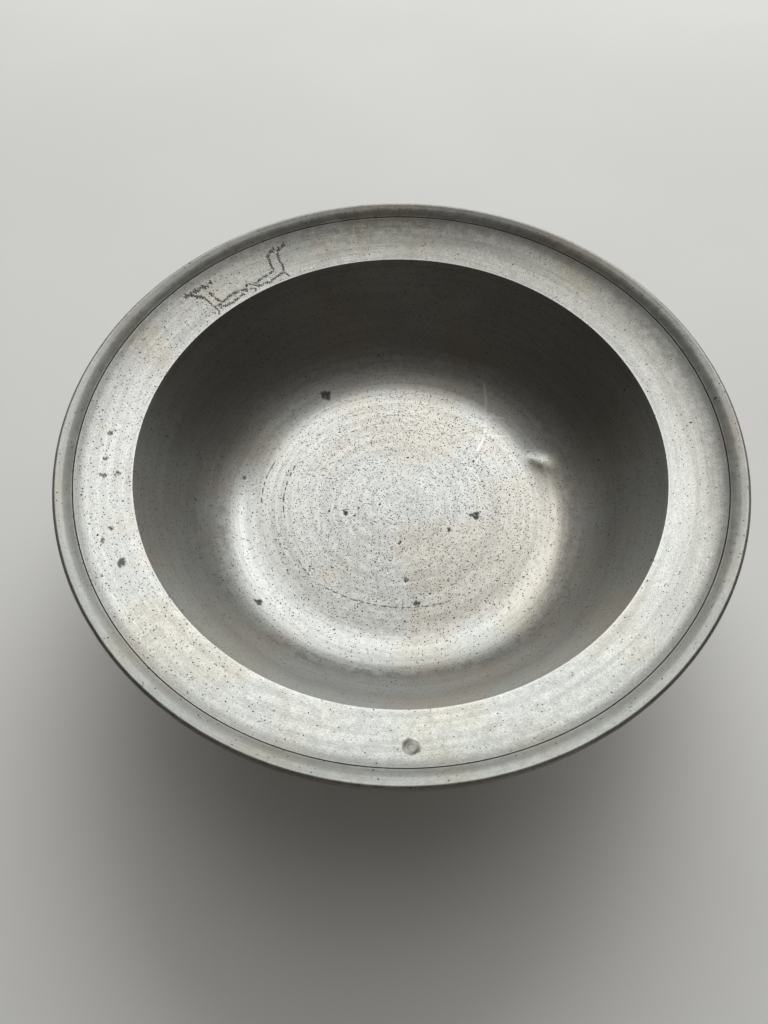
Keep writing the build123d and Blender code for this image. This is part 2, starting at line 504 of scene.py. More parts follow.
def bowl_piece(material):
    """Bowl: the turned shell with its pits, dent, scored circles and the unevenness of hand work."""
    rows = turned_rows(bowl_outline(), bowl_softness, bowl_spacing, closed=False)
    spots = [(place[1], np.degrees(place[2] / place[0]), np.degrees(pit_turn / place[0])) for place in pits]
    azimuths = spread_azimuths(bowl_turn, spots + close_stretches)
    inside = np.arange(len(rows.radius)) > np.argmax(rows.radius)
    shown = smooth_step((mouth_height - calm_drop - rows.height) / calm_height)
    lift = unevenness * ripple(azimuths, rows.along, (1, 7), (18, 60), 9) * shown[:, None]
    grime = np.zeros_like(lift)
    for radius, azimuth, width, depth in pits:
        patch = pitted_patch(*offsets_from(rows, azimuths, radius, azimuth, inside), width)
        lift -= depth * patch
        grime = np.maximum(grime, pit_grime * patch)
    for place in scored_arcs:
        line = scored_circle(rows, azimuths, *place) * inside[:, None]
        lift -= score_depth * line
        grime = np.maximum(grime, score_grime * line)
    dent = dent_bell(rows, azimuths, inside)
    lift += dent_rise * dent
    scratch = scratch_lines(rows, azimuths, inside)
    lift -= scratch_depth * scratch

    # The wall has a thin film of tarnish, and its far side is darkened with painted shade, which is left off
    # the dent
    film = smooth_step((rows.height - floor_top - film_start) / film_height)[:, None] + 0 * lift
    film = np.where(inside[:, None], film, outside_film)
    far_shade = smooth_step((rows.radius - far_shade_radius) / far_shade_width)[:, None] * far_side(azimuths)
    far_shade = far_shade * inside[:, None] * (1 - dent_unshaded * smooth_step(1.6 * dent))
    floor = smooth_step((pepper_radius - rows.radius) / pepper_width)
    pepper = np.where(inside, wall_pepper + floor_pepper * floor, outside_pepper)[:, None]
    lift[[0, -1]] = lift[[0, -1]].mean(1)[:, None]
    points = turned_points(rows, azimuths, lift)
    faces = turned_faces(points.shape[:2], closed=False)
    return add_piece(
        "bowl_shell", points, faces, material, "bowl", "pewter",
        grime=np.maximum(grime, far_shade_strength * far_shade), rub=scratch, patina=film,
        pepper=pepper + far_shade_pepper * far_shade, along=rows.along[:, None],
    )


# Brim

# Strokes of the engraved ribbon on the brim: each a path of (azimuth, radius), the graver's swing and pitch
ribbon_strokes = [
    ([(141.1, 100.7), (139.1, 100.5), (137.2, 100.1), (135.8, 99.6), (134.1, 99.8)], 0.65, 1.0),
    ([(139.6, 100.4), (138.9, 98.5), (137.9, 96.8)], 0.5, 0.9),
    ([(137.9, 96.8), (137.6, 91.6), (137.5, 90.1), (138.1, 88.8)], 0.22, 1.0),
    ([(136.2, 97.3), (135.8, 93.4), (135.5, 91.8)], 0.3, 0.9),
    ([(136.9, 91.5), (132.9, 92.3), (130.9, 92.2), (128.5, 91.2)], 0.3, 0.95),
    ([(136.9, 90.6), (133.7, 89.7), (131.5, 89.8), (128.4, 90.7)], 0.35, 0.95),
    ([(127.6, 94.0), (127.3, 92.5), (125.9, 90.6)], 0.12, 0.8),
    ([(127.9, 92.9), (128.6, 91.3)], 0.15, 0.7),
    ([(128.0, 90.7), (126.5, 89.9), (126.9, 88.9)], 0.15, 0.7),
    ([(125.9, 91.6), (123.8, 92.3), (121.9, 92.6), (120.3, 93.2)], 0.28, 0.95),
    ([(125.9, 90.2), (124.1, 89.9), (122.4, 89.8), (120.9, 90.3), (118.6, 91.1)], 0.35, 0.95),
    ([(120.3, 98.4), (120.1, 96.9), (120.3, 94.8), (120.2, 93.3)], 0.35, 0.9),
    ([(117.6, 98.8), (118.0, 96.7), (117.8, 94.0), (118.3, 91.3), (117.5, 88.9)], 0.28, 0.95),
    ([(120.2, 98.7), (119.0, 100.0), (117.9, 100.7)], 0.5, 0.9),
    ([(117.7, 99.2), (116.6, 100.2), (115.3, 101.0)], 0.55, 0.9),
]
ribbon_middle, ribbon_half = 128.2, 13.6
ribbon_inner, ribbon_outer, ribbon_margin = 88.3, 101.8, 0.4
ribbon_depth, ribbon_line, ribbon_swing = 0.08, 0.25, 1.25

# Dark spots on the brim: radius, azimuth, width and depth
brim_spots = [
    (95.0, -152.8, 1.5, 0.16),
    (96.1, 177.7, 0.9, 0.12),
    (96.3, -176.1, 0.85, 0.12),
    (96.2, -172.4, 0.8, 0.12),
    (92.2, -173.1, 0.9, 0.14),
    (95.3, -160.3, 0.75, 0.1),
    (98.4, -157.9, 0.75, 0.1),
]

# The plug's place and the hole that it fills
plug_circle = np.hypot(*plug_centre)
plug_azimuth = np.degrees(np.arctan2(plug_centre[1], plug_centre[0]))
hole_radius = plug_radius + solder_gap

# Distances between the brim's rows, and how far beside the hole they stay close
ribbon_row, face_row, hole_row, under_row = 0.18, 0.4, 0.3, 2.0
hole_reach = 0.8
brim_softness = 0.14

# Steps round the brim in degrees, and the half width of the stretch at the plug
brim_turn, ribbon_turn, spot_turn = 1.5, 0.11, 0.24
plug_half_turn, plug_turn = 1.9, 0.14

# Dirt in the spots and the ribbon, painted shade in the seam, and painted shade on a strip inside the seam
# that is darker to the right
spot_grime, ribbon_grime, seam_grime = 0.8, 0.95, 0.7
strip_start, strip_width = 100.5, 4.0
strip_grime, strip_swing = 0.43, 0.15

# Painted highlights along the face's edges: how far inside it, how wide and how bright, at the seam and at
# the mouth
seam_inset, seam_rub_width, seam_rub = 0.3, 0.15, 0.6
mouth_inset, mouth_rub_width, mouth_rub = 0.2, 0.25, 0.35

# Share of pepper-like pits all round the brim, and the more of them on its left
brim_pepper, left_pepper = 0.15, 0.35


def brim_outline():
    """Outline of the brim: underside, outer edge, rebated ledge, dished upper face and leaning inner edge."""
    return np.vstack([
        dished(mouth_radius - brim_drop * wall_run, brim_edge, brim_drop),
        dished(brim_edge, seam_radius, rebate_depth),
        dished(seam_radius, mouth_radius, 0),
    ])


def brim_spacing(radius, height):
    """Distance between the brim's rows: small across the ribbon, larger on the face and below it."""
    upper = height > brim_height(radius) - face_margin
    near_hole = np.abs(radius - plug_circle) < hole_radius + hole_reach
    carved = (radius > ribbon_inner) & (radius < ribbon_outer)
    return np.where(upper, np.where(carved, ribbon_row, face_row), np.where(near_hole, hole_row, under_row))


def ribbon_cut(rows, azimuths, carved):
    """Strength of the ribbon's strokes on a carved part of the developed face.

    A point's place there is its distance round the mean circle and its radius. A stroke is full along its
    zigzag and falls off straight to its edges, and a ripple thins it here and there.
    """
    mean_circle = (mouth_radius + seam_radius) / 2
    across = np.radians(azimuths)[None, :] * mean_circle + 0 * rows.radius[:, None]
    out = rows.radius[:, None] + 0 * across
    cut = np.zeros_like(across[carved])
    for places, swing, pitch in ribbon_strokes:
        path = np.array([(np.radians(azimuth) * mean_circle, radius) for azimuth, radius in places])
        near = stroke_distance(across[carved], out[carved], wriggled(path, ribbon_swing * swing, pitch))
        cut = np.maximum(cut, np.clip(1.25 - near / ribbon_line, 0, 1))
    return cut * smooth_step(1.5 * ripple(azimuths, rows.along, (140, 380), (2, 5), 6)[carved] + 0.9)


def faces_round_hole(points):
    """Faces of the brim that keep clear of the hole, whose edge points are drawn in to its circle."""
    from_plug = points[..., :2] - plug_centre
    inside = np.hypot(from_plug[..., 0], from_plug[..., 1]) < hole_radius
    faces = np.array(turned_faces(inside.shape))
    reached = inside.ravel()[faces].any(1)
    border = np.unique(faces[reached])
    border = border[~inside.ravel()[border]]
    flat = points.reshape(-1, 3)
    toward = flat[border, :2] - plug_centre
    flat[border, :2] = plug_centre + toward * (hole_radius / np.hypot(*toward.T))[:, None]
    return faces[~reached]


def brim_piece(material):
    """Brim: the turned sheet with its engraved ribbon, spots and a hole through it for the plug."""
    rows = turned_rows(brim_outline(), brim_softness, brim_spacing)
    upper = rows.height > brim_height(rows.radius) - 0.75 * face_margin
    spots = [(azimuth, np.degrees(width / radius), spot_turn) for radius, azimuth, width, _ in brim_spots]
    spots += [(ribbon_middle, ribbon_half, ribbon_turn), (plug_azimuth, plug_half_turn, plug_turn)]
    azimuths = spread_azimuths(brim_turn, spots)
    rightward = np.cos(np.radians(azimuths))[None, :]
    shown = smooth_step((rows.radius - mouth_radius) / 2.0) * upper
    lift = unevenness * ripple(azimuths, rows.along, (2, 9), (12, 40), 8) * shown[:, None]
    grime = np.zeros_like(lift)
    for radius, azimuth, width, depth in brim_spots:
        spot = pitted_patch(*offsets_from(rows, azimuths, radius, azimuth, upper), width)
        lift -= depth * spot
        grime = np.maximum(grime, spot_grime * spot)
    along_ribbon = np.abs(turn_between(azimuths, ribbon_middle)) < ribbon_half
    carved = np.ix_(upper & (rows.radius < ribbon_outer + ribbon_margin), along_ribbon)
    cut = ribbon_cut(rows, azimuths, carved)
    lift[carved] -= ribbon_depth * cut
    grime[carved] = np.maximum(grime[carved], ribbon_grime * cut)

    # Painted shade darkens the seam, the strip beside it and, on the far side, the mouth's inner face
    seam = smooth_step((rows.radius - seam_radius + 0.02) / 0.05)[:, None]
    strip = (smooth_step((rows.radius - strip_start) / strip_width) * upper)[:, None]
    film = smooth_step((mouth_radius + 0.1 - rows.radius) / 0.15) * (rows.out < 0)
    grime = np.maximum(grime, seam_grime * seam)
    grime = np.maximum(grime, strip * (strip_grime + strip_swing * rightward))
    grime = np.maximum(grime, far_shade_strength * film[:, None] * far_side(azimuths))

    # Painted highlights run along both edges of the face
    seam_highlight_mask = bell(rows.radius - seam_radius + seam_inset, seam_rub_width) * upper
    mouth_highlight_mask = bell(rows.radius - mouth_radius - mouth_inset, mouth_rub_width) * upper
    points = turned_points(rows, azimuths, lift)
    piece = add_piece(
        "brim_sheet", points, faces_round_hole(points), material, "brim", "pewter",
        grime=grime, rub=(seam_rub * seam_highlight_mask + mouth_rub * mouth_highlight_mask)[:, None], patina=film[:, None],
        pepper=brim_pepper + left_pepper * smooth_step((-rightward - 0.2) / 0.6), along=rows.along[:, None],
    )
    close_hole(piece.data)
    return piece


def close_hole(mesh):
    """Join the two open edges of a hole by a wall of faces between them."""
    work = bmesh.new()
    work.from_mesh(mesh)
    rims = [edge for edge in work.edges if edge.is_boundary]
    bmesh.ops.bridge_loops(work, edges=rims)
    for edge in rims:
        edge.smooth = False
    bmesh.ops.recalc_face_normals(work, faces=work.faces)
    work.to_mesh(mesh)
    work.free()


# Plug: its hammered head, the bearing along which the head spreads most, and how finely it is cut
cap_spread, cap_slope, cap_gap, cap_rise = 0.28, 0.35, 0.012, 0.07
cap_radius = plug_radius + cap_spread
cap_middle = 0.7 * cap_rise
cap_bearing = np.radians(135.0)
head_row, peg_row, plug_softness, plug_step = 0.1, 0.4, 0.1, 2.5
plug_pepper = 0.3


def plug_piece(material):
    """Plug: a peg on its own axis, whose hammered head spreads over the hole's edge as a thin ragged cap.

    The cap's radius varies as cosines of the angle round the peg. Its height follows the brim's face.
    """
    outline = [
        (0, 0),
        (plug_radius, 0),
        (plug_radius, brim_drop + cap_gap),
        (cap_radius, brim_drop + cap_gap),
        (cap_radius - cap_slope, brim_drop + cap_rise),
        (0, brim_drop + cap_middle),
    ]

    def spacing(radius, height):
        return np.where(height < brim_drop - 2 * head_row, peg_row, head_row)

    rows = turned_rows(outline, plug_softness, spacing, closed=False)
    azimuths = np.arange(0, 360, plug_step)
    angle = np.radians(azimuths)[None, :]
    top = rows.height > brim_drop + cap_gap / 2
    beyond = smooth_step((rows.radius - 0.6 * plug_radius) / (cap_radius - 0.6 * plug_radius)) * top
    ragged = 0.07 * np.cos(2 * (angle - cap_bearing)) + 0.03 * np.cos(3 * angle + 1.0)
    ragged += 0.03 * ripple(azimuths, np.zeros(1), (5, 14), (9, 10), 4)
    lift = unevenness * ripple(azimuths, rows.along, (2, 6), (2, 5), 6) * (rows.up > 0.5)[:, None]
    lift[[0, -1]] = lift[[0, -1]].mean(1)[:, None]
    points = turned_points(rows, azimuths, lift)
    points[..., :2] *= (1 + beyond[:, None] * ragged)[..., None]
    points[..., :2] += plug_centre
    points[..., 2] += brim_height(np.hypot(points[..., 0], points[..., 1])) - brim_drop

    # Grime in a ring inside the edge, darkest at both ends of the bearing, and in a smaller ring at one end
    ring = (bell(rows.radius - 0.8 * plug_radius, 0.5) * top)[:, None]
    swirl = (bell(rows.radius - 0.4 * plug_radius, 0.3) * top)[:, None]
    grime = ring * (0.16 + 0.6 * np.cos(angle - cap_bearing) ** 2)
    grime = grime + 0.24 * swirl * (1 + np.cos(angle - cap_bearing))
    faces = turned_faces(points.shape[:2], closed=False)
    return add_piece(
        "plug_peg", points, faces, material, "hanging_hole_plug", "plug_pewter",
        grime=grime, rub=0.0, patina=0.0, pepper=plug_pepper, along=rows.along[:, None],
    )


# Edge moulding, foot ring and solder

def moulding_outline():
    """Outline of the moulding: skirt, upright edge, round crest, sloping lip, steep band and dished seat."""
    quarter = np.pi / 2
    skirt_round = (crest_height - skirt_bottom) / 2
    crest = arc((rim_radius - crest_round, crest_height - crest_round), crest_round, 0, quarter + lip_angle)
    band_end = crest[-1] - (lip_width, lip_width * np.tan(lip_angle))
    band_start = np.array((seam_radius + seam_gap, brim_height(seam_radius + seam_gap)))
    return np.vstack([
        [(skirt_radius, skirt_bottom)],
        arc((rim_radius - skirt_round, skirt_bottom + skirt_round), skirt_round, -quarter, 0),
        crest,
        bend(0.4 * crest[-1] + 0.6 * band_end, band_end, 0.7 * band_end + 0.3 * band_start),
        [band_start],
        dished(band_start[0], skirt_radius, rebate_depth - solder_gap),
    ])


# Moulding: how finely it is cut, its nicks, and its film, grime and pepper-like pits
upper_row, skirt_row, moulding_softness, moulding_turn = 0.2, 0.6, 0.2, 0.75
nick_count, nick_widths, nick_depths = 26, (0.5, 1.4), (0.03, 0.1)
nick_reach, nick_length = 2.2, 0.8
lip_reach, lip_film, band_film = 2.9, 0.04, 0.36
under_grime, moulding_pepper = 0.35, 0.12


def moulding_piece(material):
    """Edge moulding: the turned ring, a little uneven and nicked here and there along its lip."""
    band_radius = seam_radius + seam_gap
    band_bottom = brim_height(band_radius) - 0.5

    def spacing(radius, height):
        return np.where(height > skirt_bottom + 1, upper_row, skirt_row)

    rows = turned_rows(moulding_outline(), moulding_softness, spacing)
    azimuths = spread_azimuths(moulding_turn)
    outer = smooth_step((rows.radius - band_radius - 1.2) / 1.0)
    inner = smooth_step((band_radius + 0.3 - rows.radius) / 0.25) * (rows.height > band_bottom)
    lift = unevenness * (ripple(azimuths, rows.along, (3, 14), (8, 30), 10) - 1) * outer[:, None]
    lift += unevenness * inner[:, None] * (1 + ripple(azimuths, 0 * rows.along, (5, 40), (9, 10), 7))
    for _ in range(nick_count):
        azimuth, width = chance.uniform(-180, 180), chance.uniform(*nick_widths)
        radius = rim_radius - chance.uniform(0, nick_reach)
        around, outward = offsets_from(rows, azimuths, radius, azimuth, rows.out > -0.2)
        lift -= chance.uniform(*nick_depths) * bell(around, width) * bell(outward, nick_length)

    # Painted shade lies in the seam, grime under the skirt, painted shade as a dark film on the upright edge,
    # and a film on the steep band
    seam = smooth_step((band_radius + 0.05 - rows.radius) / 0.06)
    under = smooth_step((skirt_bottom + 1.2 - rows.height) / 1.0)
    # Painted shade: the dark film covers the upright outer edge in full
    side = smooth_step((rows.out - 0.35) / 0.5)
    band = band_film * smooth_step((rim_radius - lip_reach - rows.radius) / 0.6) + lip_film
    points = turned_points(rows, azimuths, lift)
    return add_piece(
        "moulding_ring", points, turned_faces(points.shape[:2]), material, "rim_moulding", "pewter",
        grime=np.maximum(seam_grime * seam, under_grime * under)[:, None], rub=0.0,
        patina=np.maximum(side, band)[:, None], pepper=moulding_pepper, along=rows.along[:, None],
    )


# Foot ring and solder beads: how finely they are cut, the worn standing edge, the lumps, and their looks
foot_row, foot_softness = 0.45, 0.4
bead_row, bead_softness = 0.2, 0.3
ring_turn = 0.9
wear_height, wear_swing, wear_depth = 2.0, 0.05, 0.06
lump_height, bead_shrink = 0.16, 0.1
foot_grime, foot_film, foot_pepper = 0.55, 0.25, 0.5
bead_grime, bead_pepper = 0.25, 0.3


def foot_piece(material):
    """Foot ring: a collar that sweeps out in a hollow curve to a chamfered standing edge."""
    start = np.array((foot_edge, foot_band))
    end = np.array((foot_outer, foot_height - foot_collar))
    share = np.linspace(0, 1, ARC_POINTS)[:, None]
    inward = np.array((-(end - start)[1], (end - start)[0])) / np.linalg.norm(end - start)
    sweep = (1 - share) * start + share * end + 4 * foot_hollow * share * (1 - share) * inward
    outline = np.vstack([
        [(foot_inner, 0), (foot_edge - foot_chamfer, 0), (foot_edge, foot_chamfer)],
        sweep,
        [(foot_outer, foot_top), (foot_inner, foot_top)],
    ])
    rows = turned_rows(outline, foot_softness, lambda radius, height: np.full_like(radius, foot_row))
    azimuths = spread_azimuths(ring_turn)
    worn = smooth_step((wear_height - rows.height) / wear_height) * (rows.height > 0.05)
    lift = wear_swing * ripple(azimuths, rows.along, (2, 11), (6, 24), 9) - wear_depth
    lift *= worn[:, None]
    corner = smooth_step((rows.height - foot_height + 2.2) / 1.5)
    points = turned_points(rows, azimuths, lift)
    return add_piece(
        "foot_ring_turned", points, turned_faces(points.shape[:2]), material, "foot_ring", "pewter",
        grime=foot_grime * corner[:, None], rub=0.0, patina=foot_film, pepper=foot_pepper,
        along=rows.along[:, None],
    )


def solder_piece(node, wall_radius, side, material, level=None):
    """Solder bead in a corner: a triangle carried round, whose open face swells and shrinks on its way."""
    start = wall_radius + side * solder_gap
    end = start + side * solder_leg
    tops = [brim_height(r) - brim_drop if level is None else level for r in (start, end)]
    corner = np.array((start, tops[0] - solder_gap))
    outline = np.array([corner, (end, tops[1] - solder_gap), corner - (0, solder_leg)])
    rows = turned_rows(outline, bead_softness, lambda radius, height: np.full_like(radius, bead_row))
    azimuths = spread_azimuths(ring_turn)
    open_face = np.clip((rows.out * side - rows.up) / np.sqrt(2), 0, 1) ** 2
    lumps = ripple(azimuths, 0 * rows.along, (9, 60), (9, 10), 9)
    lumps += ripple(azimuths, rows.along, (90, 160), (2, 4), 6)
    points = turned_points(rows, azimuths, (lump_height * lumps - bead_shrink) * open_face[:, None])
    return add_piece(
        node + "_bead", points, turned_faces(points.shape[:2]), material, node, "solder",
        grime=bead_grime, rub=0.0, patina=0.0, pepper=bead_pepper, along=rows.along[:, None],
    )


# Materials

class Finish:
    """A node material under construction: each call adds one node and gives back its output."""

    def __init__(self, tree):
        self.tree = tree
        tree.nodes.clear()

    def add(self, kind, inputs=None, output=0, **settings):
        """Add a node, with its own settings and with inputs that are numbers, colours or other outputs."""
        node = self.tree.nodes.new(kind)
        for name, value in settings.items():
            setattr(node, name, value)
        for name, value in (inputs or {}).items():
            if isinstance(value, bpy.types.NodeSocket):
                self.tree.links.new(value, node.inputs[name])
            else:
                node.inputs[name].default_value = value
        return node.outputs[output] if node.outputs else None

    def math(self, operation, first, second=0.0, clamp=False):
        """One sum, product or other operation on two numbers."""
        return self.add("ShaderNodeMath", {0: first, 1: second}, operation=operation, use_clamp=clamp)

    def times(self, value, factor):
        """A number times a factor."""
        return self.math("MULTIPLY", value, factor)

    def between(self, value, low, high, first=0.0, last=1.0):
        """Smooth change from first to last as the value goes from low to high."""
        inputs = {"Value": value, "From Min": low, "From Max": high, "To Min": first, "To Max": last}
        return self.add("ShaderNodeMapRange", inputs, interpolation_type="SMOOTHSTEP")

    def blend(self, share, first, second, mode="MIX"):
        """Two colours mixed by a share."""
        inputs = {0: share, 6: first, 7: second}
        return self.add("ShaderNodeMix", inputs, 2, data_type="RGBA", blend_type=mode)

    def noise(self, place, scale, detail=2.0, roughness=0.5):
        """Cloudy noise whose features are 1/scale across."""
        inputs = {"Vector": place, "Scale": scale, "Detail": detail, "Roughness": roughness}
        return self.add("ShaderNodeTexNoise", inputs)

    def ramp(self, value, stops):
        """Strength or colour read off stops (position, strength or colour) by a value between 0 and 1."""
        output = self.add("ShaderNodeValToRGB", {0: value})
        elements = output.node.color_ramp.elements
        elements[0].position, elements[1].position = stops[0][0], stops[-1][0]
        for position, _ in stops[1:-1]:
            elements.new(position)
        for element, (_, colour) in zip(elements, stops):
            element.color = (*np.broadcast_to(colour, 3), 1)
        return output

    def drawn_out(self, place, along, stretch):
        """Coordinates whose features are longer round the piece than along its outline, by the stretch."""
        slow = self.add("ShaderNodeVectorMath", {0: place, "Scale": 1 / stretch}, operation="SCALE")
        apart = self.add("ShaderNodeSeparateXYZ", {0: slow})
        return self.add("ShaderNodeCombineXYZ", {0: along, 1: apart, 2: apart.node.outputs[1]})

    def specks(self, place, cell, share, largest):
        """Scattered dots: in each cell of a Voronoi pattern, random numbers draw one dot's size and strength.

        The share says in how many cells a dot shows, and the largest dot's radius is a share of the cell. A
        dot's edge is a fourteenth of the cell wide.
        """
        pattern = self.add("ShaderNodeTexVoronoi", {"Vector": place, "Scale": 1 / cell, "Randomness": 1.0}, 0)
        drawn = self.add("ShaderNodeSeparateColor", {0: pattern.node.outputs["Color"]})
        strength = self.between(drawn.node.outputs[1], 0.0, 1.0, 0.5, 1.0)
        least = self.math("SUBTRACT", 1.0, share)
        size = self.times(self.math("SUBTRACT", drawn, least, clamp=True), largest)
        size = self.math("DIVIDE", size, share)
        dots = self.math("MULTIPLY", self.math("SUBTRACT", size, pattern), 14.0, clamp=True)
        return self.math("MULTIPLY", dots, strength)


# Tones that all finishes share, for dirt with painted shade and for grit, shades of marks, worn places and
# painted highlights beside a piece's own, and the turning
grime_tone = (0.034, 0.028, 0.021)
grit_tone = (0.08, 0.078, 0.07)
warm_tint = (1.0, 0.955, 0.9)
mark_tone, rub_tone = 0.55, 1.35
turning_share, turning_stretch = 0.3, 30.0


def pewter_marks(finish, stretch):
    """Marks of old pewter, as numbers over the surface.

    Clouds, mottle, warm patches, grit, grain and turning marks are noise in millimetres. The grain is drawn
    out round the piece by the stretch. Pits are dots of two sizes, more of them where the piece's pepper is
    high. Wear and painted highlights take them away, a film covers the piece where its film value is high, in
    part as painted shade, and dirt and painted shade are dark.
    """
    place = finish.add("ShaderNodeTexCoord", output=3)
    place = finish.add("ShaderNodeVectorMath", {0: place, "Scale": 1 / MM}, operation="SCALE")
    reads = {}
    for label in ("grime", "rub", "patina", "pepper", "along"):
        reads[label] = finish.add("ShaderNodeAttribute", output=2, attribute_name=label)
    cloud = finish.noise(place, 0.045, 3.0, 0.55)
    drawn = finish.drawn_out(place, reads["along"], stretch)
    turned = finish.drawn_out(place, reads["along"], turning_stretch)
    warped = finish.add("ShaderNodeVectorMath", {0: place, 1: finish.noise(place, 1.1)}, operation="ADD")
    fine = finish.specks(place, 0.42, finish.times(reads["pepper"], 0.34), 0.72)
    coarse = finish.specks(warped, 1.6, finish.times(reads["pepper"], 0.2), 0.3)
    # The worn value is real wear along the scratch and painted highlights along the brim's edges
    worn = finish.times(reads["rub"], 0.9)
    pitted = finish.math("SUBTRACT", finish.math("MAXIMUM", fine, coarse), worn, clamp=True)
    grit = finish.between(finish.noise(place, 3.0, 1.0, 0.7), 0.53, 0.62)
    grittiness = finish.math("ADD", finish.times(reads["pepper"], 0.11), 0.12)
    return SimpleNamespace(
        cloud=cloud,
        mottle=finish.noise(place, 0.35, 4.0, 0.62),
        warm=finish.between(finish.noise(place, 0.028), 0.48, 0.62),
        grain=finish.noise(drawn, 3.3, 2.0, 0.6),
        turning=finish.noise(turned, 0.55, 4.0, 0.65),
        gritty=finish.math("MULTIPLY", grit, grittiness),
        worn=worn,
        pitted=pitted,
        covered=finish.math("MULTIPLY", reads["patina"], finish.between(cloud, 0.3, 0.75, 0.75, 1.0)),
        dark=finish.math("MAXIMUM", finish.times(pitted, 0.95), reads["grime"], clamp=True),
    )


def pewter_colour(finish, marks, bright, dull, film, grained):
    """Colour of old pewter: the mottled tone, and over it one layer after another, each by its own share."""
    shade = [mark_tone * part for part in dull]
    rubbed = [min(1, rub_tone * part) for part in bright]
    layers = [
        (finish.between(marks.cloud, 0.4, 0.7, 0.0, 0.3), dull, "MIX"),
        (marks.covered, film, "MIX"),
        (finish.between(marks.grain, 0.42, 0.62, 0.0, grained), shade, "MIX"),
        (finish.between(marks.turning, 0.42, 0.62, 0.0, turning_share), shade, "MIX"),
        (marks.warm, warm_tint, "MULTIPLY"),
        (marks.gritty, grit_tone, "MIX"),
        (marks.worn, rubbed, "MIX"),
        (marks.dark, grime_tone, "MIX"),
    ]
    colour = finish.blend(finish.between(marks.mottle, 0.34, 0.66), (*dull, 1), (*bright, 1))
    for share, tone, mode in layers:
        colour = finish.blend(share, colour, (*tone, 1), mode)
    return colour


def pewter(name, bright, dull, film, roughness, stretch=1.0, bump=1.0, grained=0.2):
    """Old pewter: mottled grey metal with turning marks, pepper-like pits, a film, grime in the hollows,
    painted shade and painted highlights.

    It is rougher where it is covered, worn, painted with highlights or dark, and less of a metal where it is
    covered or dark.
    """
    material = bpy.data.materials.new(name)
    material.use_nodes = True
    finish = Finish(material.node_tree)
    marks = pewter_marks(finish, stretch)
    colour = pewter_colour(finish, marks, bright, dull, film, grained)
    rough = finish.between(marks.mottle, 0.3, 0.7, roughness - 0.05, roughness + 0.06)
    rough = finish.math("ADD", rough, finish.times(finish.math("MAXIMUM", marks.covered, marks.worn), 0.15))
    rough = finish.math("ADD", rough, finish.times(marks.dark, 0.35), clamp=True)
    hidden = finish.math("MAXIMUM", finish.times(marks.dark, 0.7), finish.times(marks.covered, 0.42))
    metal = finish.math("SUBTRACT", 1.0, hidden)
    height = finish.math("ADD", finish.times(marks.grain, 0.9), finish.times(marks.turning, 2.0))
    height = finish.math("SUBTRACT", height, finish.times(marks.pitted, 0.8))
    normal = finish.add("ShaderNodeBump", {"Strength": 0.3 * bump, "Distance": 0.05 * MM, "Height": height})
    inputs = {"Base Color": colour, "Metallic": metal, "Roughness": rough, "Normal": normal}
    shader = finish.add("ShaderNodeBsdfPrincipled", inputs)
    finish.add("ShaderNodeOutputMaterial", {"Surface": shader})
    return material


# Each finish: its bright and dull tones and its film; the moulding's dark film also paints shade on its
# upright edge
well_film, edge_film_and_shade, old_film = (0.45, 0.452, 0.425), (0.16, 0.155, 0.135), (0.2, 0.19, 0.16)
well_pewter = pewter("well_pewter", (0.795, 0.80, 0.772), (0.605, 0.613, 0.59), well_film, roughness=0.22)
brim_pewter = pewter(
    "brim_pewter", (0.83, 0.835, 0.805), (0.61, 0.615, 0.59), well_film,
    roughness=0.25, stretch=2.2, bump=0.8, grained=0.45,
)
moulding_pewter = pewter(
    "moulding_pewter", (0.56, 0.565, 0.54), (0.42, 0.425, 0.405), edge_film_and_shade,
    roughness=0.3, stretch=4.0, bump=0.6,
)
foot_pewter = pewter(
    "foot_pewter", (0.50, 0.50, 0.475), (0.36, 0.36, 0.34), old_film,
    roughness=0.42, stretch=2.0,
)
plug_metal = pewter("plug_metal", (0.68, 0.69, 0.655), (0.51, 0.515, 0.49), old_film, roughness=0.4)
solder_metal = pewter("solder_metal", (0.47, 0.47, 0.46), (0.30, 0.30, 0.29), old_film, roughness=0.45)

bowl_piece(well_pewter)
brim_piece(brim_pewter)
plug_piece(plug_metal)
moulding_piece(moulding_pewter)
foot_piece(foot_pewter)
solder_piece("brim_solder", flange_radius, 1, solder_metal)
solder_piece("rim_solder", skirt_radius, -1, solder_metal)
solder_piece("foot_solder_outer", foot_outer, 1, solder_metal, foot_height)
solder_piece("foot_solder_inner", foot_inner, -1, solder_metal, foot_height)


# Floor, light and camera

# The floor's radius and sides, and how far it lies below the foot ring
stage_radius, stage_sides, stage_drop = 30000.0, 96, 0.02


def studio_floor():
    """Plain pale floor: a wide disc just under the foot ring, with a faint cloudy tone."""
    mesh = bpy.data.meshes.new("studio_floor")
    angle = np.linspace(0, 2 * np.pi, stage_sides, endpoint=False)
    level = np.full_like(angle, -stage_drop)
    disc = np.stack([stage_radius * np.cos(angle), stage_radius * np.sin(angle), level], 1)
    mesh.from_pydata(disc * MM, [], [list(range(len(disc)))])
    material = bpy.data.materials.new("studio_floor_paint")
    material.use_nodes = True
    finish = Finish(material.node_tree)
    tone = finish.noise(finish.add("ShaderNodeTexCoord", output=3), 6.0, 3.0)
    colour = finish.blend(finish.between(tone, 0.35, 0.65), (0.80, 0.80, 0.79, 1), (0.83, 0.83, 0.82, 1))
    shader = finish.add("ShaderNodeBsdfPrincipled", {"Base Color": colour, "Roughness": 0.8})
    finish.add("ShaderNodeOutputMaterial", {"Surface": shader})
    mesh.materials.append(material)
    floor = bpy.data.objects.new("studio_floor", mesh)
    bpy.context.scene.collection.objects.link(floor)


